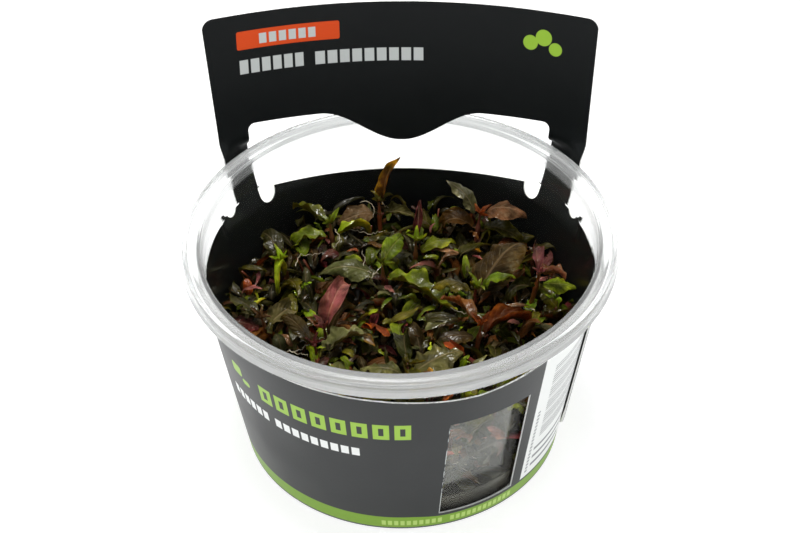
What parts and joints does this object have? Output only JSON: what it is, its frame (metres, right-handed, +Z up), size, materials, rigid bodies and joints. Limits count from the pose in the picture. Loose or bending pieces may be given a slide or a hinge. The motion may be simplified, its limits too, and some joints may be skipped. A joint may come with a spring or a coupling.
{
  "type": "rotala plant in a culture cup",
  "caption": "Aquarium stem plants grown on gel in a clear flanged cup, held by a dark printed card sleeve with a standing header card at the back.",
  "frame": {"origin": "middle of the cup's underside, which is also the bottom centre of the bounding box", "axes": "+Z up, -Y towards the front of the cup, +Y towards the standing header card at the back"},
  "size_m": [0.1012, 0.1012, 0.095],
  "materials": {
    "clear_cup": "clear polypropylene, smooth and glossy, a little milky at the flange",
    "printed_card": "satin coated card, printed charcoal outside with a green foot stripe, white cut edges",
    "gel": "clear soft culture gel, wet gloss, faintly yellow",
    "undergrowth": "crowded small wet leaves and fine roots, dark olive and brown",
    "stem": "thin soft stems, reddish brown to green, wet",
    "leaf": "thin wet leaves, olive to yellow green above, brown, pink and silvery in places"
  },
  "bodies": {
    "root": {"cup": "clear_cup", "card_sleeve": "printed_card", "culture_gel": "gel", "undergrowth": "undergrowth", "stem_01": "stem", "stem_02": "stem", "stem_03": "stem", "stem_04": "stem", "stem_05": "stem", "stem_06": "stem", "stem_07": "stem", "stem_08": "stem", "stem_09": "stem", "stem_10": "stem", "stem_11": "stem", "stem_12": "stem", "stem_13": "stem", "leaf_01_a": "leaf", "leaf_01_b": "leaf", "leaf_01_c": "leaf", "leaf_02_a": "leaf", "leaf_02_b": "leaf", "leaf_02_c": "leaf", "leaf_02_d": "leaf", "leaf_03_a": "leaf", "leaf_03_b": "leaf", "leaf_03_c": "leaf", "leaf_04_a": "leaf", "leaf_04_b": "leaf", "leaf_04_c": "leaf", "leaf_05_a": "leaf", "leaf_05_b": "leaf", "leaf_05_c": "leaf", "leaf_05_d": "leaf", "leaf_06_a": "leaf", "leaf_06_b": "leaf", "leaf_06_c": "leaf", "leaf_06_d": "leaf", "leaf_07_a": "leaf", "leaf_07_b": "leaf", "leaf_07_c": "leaf", "leaf_08_a": "leaf", "leaf_08_b": "leaf", "leaf_08_c": "leaf", "leaf_08_d": "leaf", "leaf_09_a": "leaf", "leaf_09_b": "leaf", "leaf_09_c": "leaf", "leaf_10_a": "leaf", "leaf_10_b": "leaf", "leaf_10_c": "leaf", "leaf_11_a": "leaf", "leaf_11_b": "leaf", "leaf_11_c": "leaf", "leaf_12_a": "leaf", "leaf_12_b": "leaf", "leaf_12_c": "leaf", "leaf_13_a": "leaf", "leaf_13_b": "leaf", "leaf_13_c": "leaf"}
  },
  "joints": []
}
